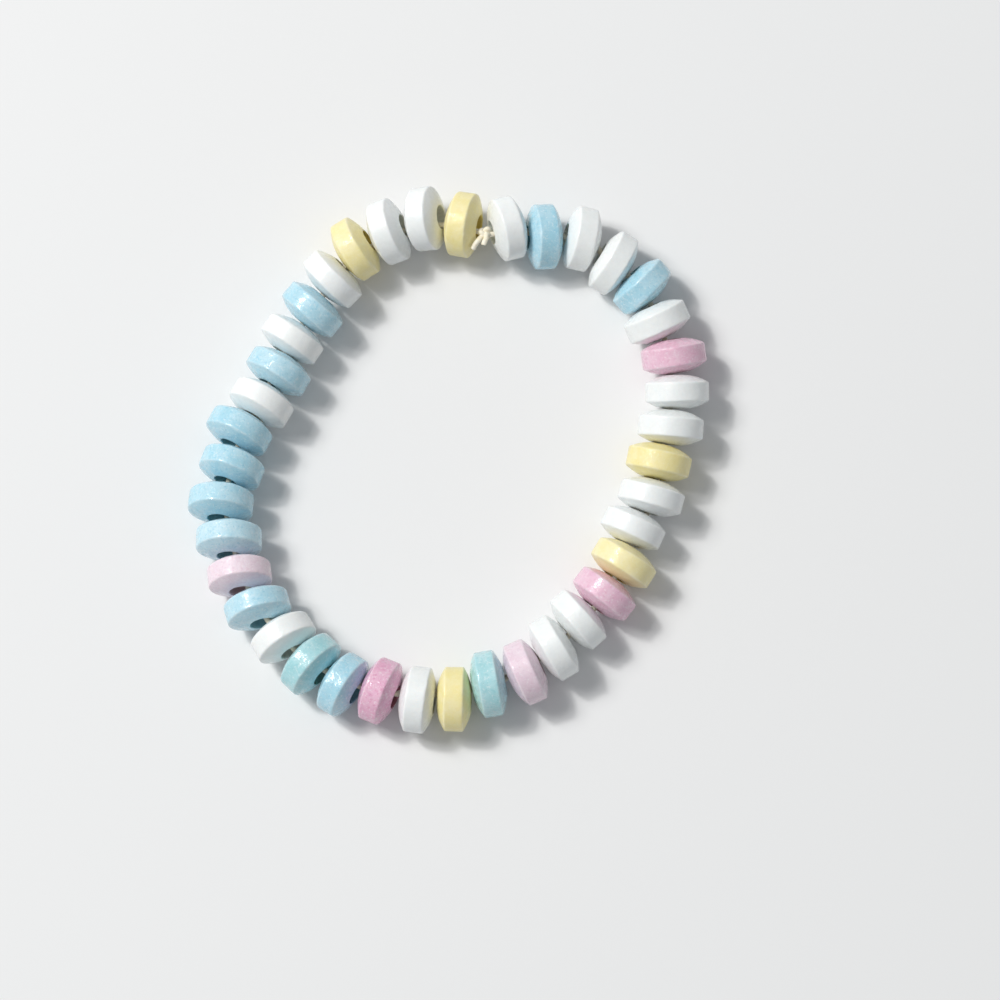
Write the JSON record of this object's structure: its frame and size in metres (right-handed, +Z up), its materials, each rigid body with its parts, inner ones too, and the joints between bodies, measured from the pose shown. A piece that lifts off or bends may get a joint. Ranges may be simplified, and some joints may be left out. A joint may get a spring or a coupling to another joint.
{
  "type": "candy necklace",
  "caption": "Candy necklace: round pressed sugar beads in pale colours threaded on an elastic string, which is knotted into a loop and lies flat.",
  "frame": {"origin": "centre of the necklace's box, on the surface that it lies on", "axes": "+Z up from the surface, along the shortest side; +Y along the longest side, towards the knot's side of the ring"},
  "size_m": [0.0882, 0.0938, 0.0126],
  "materials": {
    "white_candy": "chalky pressed sugar with a slight sheen",
    "blue_candy": "chalky pressed sugar with a slight sheen",
    "aqua_candy": "chalky pressed sugar with a slight sheen",
    "pink_candy": "chalky pressed sugar with a slight sheen",
    "rose_candy": "chalky pressed sugar with a slight sheen",
    "pale_pink_candy": "chalky pressed sugar with a slight sheen",
    "yellow_candy": "chalky pressed sugar with a slight sheen",
    "elastic": "cream elastic thread"
  },
  "bodies": {
    "root": {"bead_01": "white_candy", "bead_02": "blue_candy", "bead_03": "white_candy", "bead_04": "white_candy", "bead_05": "blue_candy", "bead_06": "white_candy", "bead_07": "pink_candy", "bead_08": "white_candy", "bead_09": "white_candy", "bead_10": "yellow_candy", "bead_11": "white_candy", "bead_12": "white_candy", "bead_13": "yellow_candy", "bead_14": "pink_candy", "bead_15": "white_candy", "bead_16": "white_candy", "bead_17": "pale_pink_candy", "bead_18": "aqua_candy", "bead_19": "yellow_candy", "bead_20": "white_candy", "bead_21": "rose_candy", "bead_22": "blue_candy", "bead_23": "aqua_candy", "bead_24": "white_candy", "bead_25": "blue_candy", "bead_26": "pale_pink_candy", "bead_27": "blue_candy", "bead_28": "blue_candy", "bead_29": "blue_candy", "bead_30": "blue_candy", "bead_31": "white_candy", "bead_32": "blue_candy", "bead_33": "white_candy", "bead_34": "blue_candy", "bead_35": "white_candy", "bead_36": "yellow_candy", "bead_37": "white_candy", "bead_38": "white_candy", "bead_39": "yellow_candy", "elastic_string": "elastic"}
  },
  "joints": []
}
